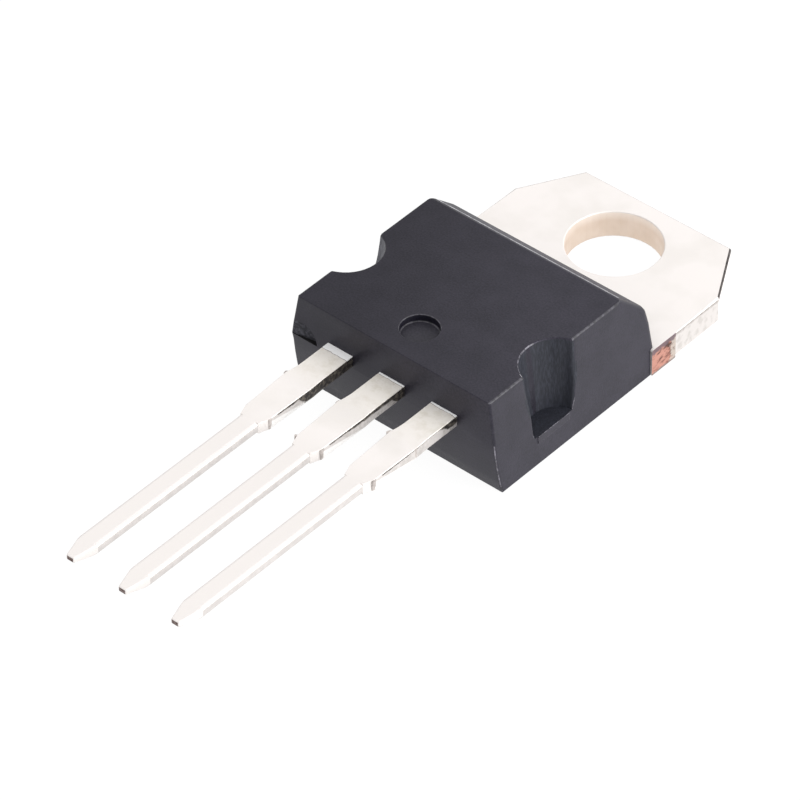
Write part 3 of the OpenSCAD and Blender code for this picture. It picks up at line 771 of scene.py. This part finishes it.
def stampedEdge(middle, along):
    if middle.y > bodyFront:
        near, far = stampLook["stub"]
        onSide = abs(middle.x) > tabSide - stampLook["sideSlack"]
        if middle.y < near or (onSide and middle.y < far):
            return 0
        if middle.z < tabZ - stampLook["topSlack"]:
            return stampLook["edge"]
        if middle.xy.length < stampLook["holeReach"]:
            return stampLook["holeRim"]
        onCut = (abs(middle.x) > stampLook["cutSide"] and middle.y > stampLook["cutFrom"]
                 and abs(along.x) > tilted)
        return stampLook["cutEdge"] if onCut and middle.x > 0 else stampLook["farEdge"]
    if middle.y < bodyFront - stampLook["narrowFrom"] - stampLook["narrowSlack"]:
        return stampLook["crown"]
    if middle.y < bodyFront - stampLook["damTo"] - stampLook["damSlack"]:
        return stampLook["tiny"]
    return stampLook["edge"]


def leadFace(centre, normal, onEdge):
    if centre.y < leadTip + stampLook["tipDepth"] and normal.y < -stampLook["endFrom"]:
        return cutEnd
    slim = centre.y < stampLook["slimFrom"]
    # painted shade: grey crowns and sides on the slim leads
    if slim and stampLook["flatFrom"] < normal.z < stampLook["crownTo"]:
        return shadedCrown
    if abs(normal.z) > stampLook["flatFrom"] or (slim and normal.y < -tilted):
        return tin
    if slim:
        return shadedNarrowSide
    if onEdge and normal.z > 0:
        return tin
    return leadEdges[sum(centre.x > edge for edge in stampLook["between"])]


def frameFace(centre, normal, onEdge):
    if centre.y < stampLook["neckTo"]:
        return leadFace(centre, normal, onEdge)
    inHole = centre.xy.length < stampLook["holeReach"]
    onRim = onEdge and centre.z > tabZ - stampLook["rimDepth"]
    if onRim and centre.xy.length > stampLook["holeReach"]:
        # painted dark reflection on the sheared corner's rim, painted shade grey on the far rims
        if normal.x > tilted and normal.y > slightly and centre.x > stampLook["rimSide"]:
            return shadedCutRim
        return farRim if normal.y > tilted or normal.x < -tilted else tin
    if onEdge or abs(normal.z) > stampLook["levelFrom"]:
        return tin
    if inHole:
        return bore
    if normal.x > tilted and normal.y > tilted:
        return tin
    if abs(centre.x) > tabSide - hair and abs(normal.x) > mostly:
        return copper
    # painted shade on the strips beside the body
    nearBody = abs(centre.x) > stampLook["stubSide"] and centre.y < stampLook["stubTo"]
    return shadedCutRim if nearBody else tabEdge


tab = soften("tabAndMiddleLead", "tab_frame", stampedEdge, tin, tin)
paint(tab, [tin, *leadEdges, shadedNarrowSide, shadedCrown, tabEdge, bore, cutEnd, copper, farRim,
            shadedCutRim], frameFace)
dress(tab, "tab_frame")

for side in ("left", "right"):
    lead = soften("lead" + side.capitalize(), "lead_" + side, stampedEdge, tin, tin)
    paint(lead, [tin, *leadEdges, shadedNarrowSide, shadedCrown, cutEnd], leadFace)
    dress(lead, "lead_" + side)
print("tab and leads softened")

# torn ridges at the ends of the dam-bar cuts: x and y of the foot, side, how far out, length
ridges = {
    "leftLeadInner": (-3.25, -15.12, -1, 0.07, 0.2),
    "leftLeadOuter": (-1.93, -17.42, 1, 0.05, 0.16),
    "middleLeadInner": (-0.71, -15.12, -1, 0.05, 0.2),
    "middleLeadOuter": (0.61, -17.44, 1, 0.06, 0.18),
    "middleLeadEnd": (-0.61, -17.5, -1, 0.09, 0.16),
    "rightLeadInner": (1.83, -15.16, -1, 0.1, 0.24),
    "rightLeadMiddle": (3.18, -15.2, 1, 0.05, 0.16),
    "rightLeadOuter": (3.15, -17.46, 1, 0.06, 0.2),
}
ridgeLook = {"levels": 7, "steps": 10, "footUp": 0.02, "topDown": 0.01, "sunk": 0.02,
             "crumple": 0.5, "wave": (7, 5, 5), "waveStep": 0.45, "leanFrom": 0.35,
             "sharpFrom": 50}


def tornRidge(name, x, y, side, out, length):
    # A half-round, crumpled lip of metal that stands up the side of a lead
    low, high = leadLow.z / mm + ridgeLook["footUp"], leadHigh.z / mm - ridgeLook["topDown"]
    levels, steps = ridgeLook["levels"], ridgeLook["steps"]
    waveX, waveY, waveZ = ridgeLook["wave"]
    leanFrom = ridgeLook["leanFrom"]
    work = bmesh.new()
    rings = []
    for level in range(levels):
        z = low + (high - low) * level / (levels - 1)
        lean = leanFrom + (1 - leanFrom) * level / (levels - 1)
        ring = []
        for step in range(steps + 1):
            turn = math.pi * step / steps
            wave = Vector((x * waveX + step * ridgeLook["waveStep"], y * waveY, z * waveZ))
            jag = 1 + ridgeLook["crumple"] * noise.noise(wave)
            proud = x - side * ridgeLook["sunk"] + side * out * jag * lean * math.sin(turn)
            ring.append(work.verts.new(Vector((proud, y - length / 2 * math.cos(turn), z)) * mm))
        rings.append(ring)
    for lower, upper in zip(rings, rings[1:]):
        for step in range(steps):
            work.faces.new((lower[step], lower[step + 1], upper[step + 1], upper[step]))
        work.faces.new((lower[-1], lower[0], upper[0], upper[-1]))
    work.faces.new(rings[0])
    work.faces.new(rings[-1])
    bmesh.ops.recalc_face_normals(work, faces=work.faces)
    mesh = bpy.data.meshes.new(name)
    work.to_mesh(mesh)
    work.free()
    mesh.shade_smooth()
    mesh.set_sharp_from_angle(angle=math.radians(ridgeLook["sharpFrom"]))
    mesh.materials.append(farRim)
    piece = bpy.data.objects.new(name, mesh)
    bpy.context.scene.collection.objects.link(piece)
    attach(piece, "root")


for name, ridge in ridges.items():
    tornRidge(name, *ridge)
print("dam-bar ridges made:", len(ridges))

inner = {
    "silicon_die": innerMetal("polishedSilicon", "#6a6d7c", "#4a4c58", size=0.2, roughness=0.2),
    "die_solder": innerMetal("softSolder", "#b4b4b8", "#8c8c92", size=0.1, roughness=0.5),
    "bond_wire_left": innerMetal("aluminiumWire", "#dcdce0", "#bcbcc2", size=0.05, roughness=0.3),
}
inner["bond_wire_right"] = inner["bond_wire_left"]
for name, material in inner.items():
    nodes[name].data.materials.clear()
    nodes[name].data.materials.append(material)
print("inner pieces finished")

# table, light and camera
tableLook = {"size": 1.5, "white": "#f4f4f4", "shadowKept": 0.12, "glow": 1.06, "below": 0.02}
floorMesh = bpy.data.meshes.new("table")
half = tableLook["size"] / 2
floorMesh.from_pydata([(-half, -half, 0), (half, -half, 0), (half, half, 0), (-half, half, 0)],
                      [], [(0, 1, 2, 3)])
floor = bpy.data.objects.new("table", floorMesh)
floor.location.z = -tableLook["below"] * mm
bpy.context.scene.collection.objects.link(floor)

# white card: the camera and glossy rays see it white, and it keeps part of the shadow
paper = bpy.data.materials.new("whiteCard")
paper.use_nodes = True
tree = paper.node_tree
tree.nodes.clear()
diffuse = node(tree, "ShaderNodeBsdfDiffuse", {"Color": srgb(tableLook["white"])})
glow = node(tree, "ShaderNodeEmission", {"Color": (1, 1, 1, 1), "Strength": tableLook["glow"]})
path = node(tree, "ShaderNodeLightPath")
seen = node(tree, "ShaderNodeMath", {"operation": "MAXIMUM"},
            {0: path.outputs["Is Camera Ray"], 1: path.outputs["Is Glossy Ray"]})
share = node(tree, "ShaderNodeMath", {"operation": "MULTIPLY", 1: 1 - tableLook["shadowKept"]},
             {0: seen.outputs[0]})
blend = node(tree, "ShaderNodeMixShader", links={0: share.outputs[0], 1: diffuse.outputs[0],
                                                  2: glow.outputs[0]})
node(tree, "ShaderNodeOutputMaterial", links={"Surface": blend.outputs[0]})
floorMesh.materials.append(paper)

world = bpy.data.worlds.new("whiteRoom")
bpy.context.scene.world = world
world.use_nodes = True
tree = world.node_tree
tree.nodes.clear()
roomLook = {"fill": 0.75, "seen": 1.0}
path = node(tree, "ShaderNodeLightPath")
seen = node(tree, "ShaderNodeMath", {"operation": "MAXIMUM"},
            {0: path.outputs["Is Camera Ray"], 1: path.outputs["Is Glossy Ray"]})
seen = node(tree, "ShaderNodeMath", {"operation": "MAXIMUM"},
            {0: seen.outputs[0], 1: path.outputs["Is Transmission Ray"]})
strength = node(tree, "ShaderNodeMapRange", {"To Min": roomLook["fill"],
                                             "To Max": roomLook["seen"]},
                {"Value": seen.outputs[0]})
sky = node(tree, "ShaderNodeBackground", {"Color": (1, 1, 1, 1)}, {"Strength": strength.outputs[0]})
node(tree, "ShaderNodeOutputWorld", links={"Surface": sky.outputs[0]})

lamps = {
    "keyLamp": {"from": (-60, -40, 220), "size": 160, "power": 0.1},
    "sideLamp": {"from": (210, 60, 70), "size": 120, "power": 0.45},
}
aim = Vector((0, -9 * mm, 0))
for name, lamp in lamps.items():
    light = bpy.data.lights.new(name, "AREA")
    light.shape = "SQUARE"
    light.size = lamp["size"] * mm
    light.energy = lamp["power"]
    holder = bpy.data.objects.new(name, light)
    holder.location = Vector(lamp["from"]) * mm
    holder.rotation_euler = (aim - holder.location).to_track_quat("-Z", "Y").to_euler()
    bpy.context.scene.collection.objects.link(holder)

# the photograph's viewpoint, in degrees and millimetres; clip is in metres
view = {"azimuth": 41.688, "elevation": 41.534, "roll": -0.896, "distance": 211.53,
        "target": (-1.242, -11.066, 0), "lens": 254.56, "sensor": 36, "clip": (0.005, 10)}
azimuth, elevation, roll = (math.radians(view[k]) for k in ("azimuth", "elevation", "roll"))
back = Vector((math.sin(azimuth) * math.cos(elevation), -math.cos(azimuth) * math.cos(elevation),
               math.sin(elevation)))
level = Vector((math.cos(azimuth), math.sin(azimuth), 0))
upward = back.cross(level)
right = level * math.cos(roll) + upward * math.sin(roll)
upward = upward * math.cos(roll) - level * math.sin(roll)
camera = bpy.data.objects.new("camera", bpy.data.cameras.new("camera"))
camera.data.lens = view["lens"]
camera.data.sensor_width = view["sensor"]
camera.data.clip_start, camera.data.clip_end = view["clip"]
place = (Vector(view["target"]) + back * view["distance"]) * mm
turn = Matrix((right, upward, back)).transposed().to_4x4()
camera.matrix_world = Matrix.Translation(place) @ turn
bpy.context.scene.collection.objects.link(camera)
bpy.context.scene.camera = camera
bpy.context.scene.view_settings.view_transform = "Standard"
print("table, light and camera set")
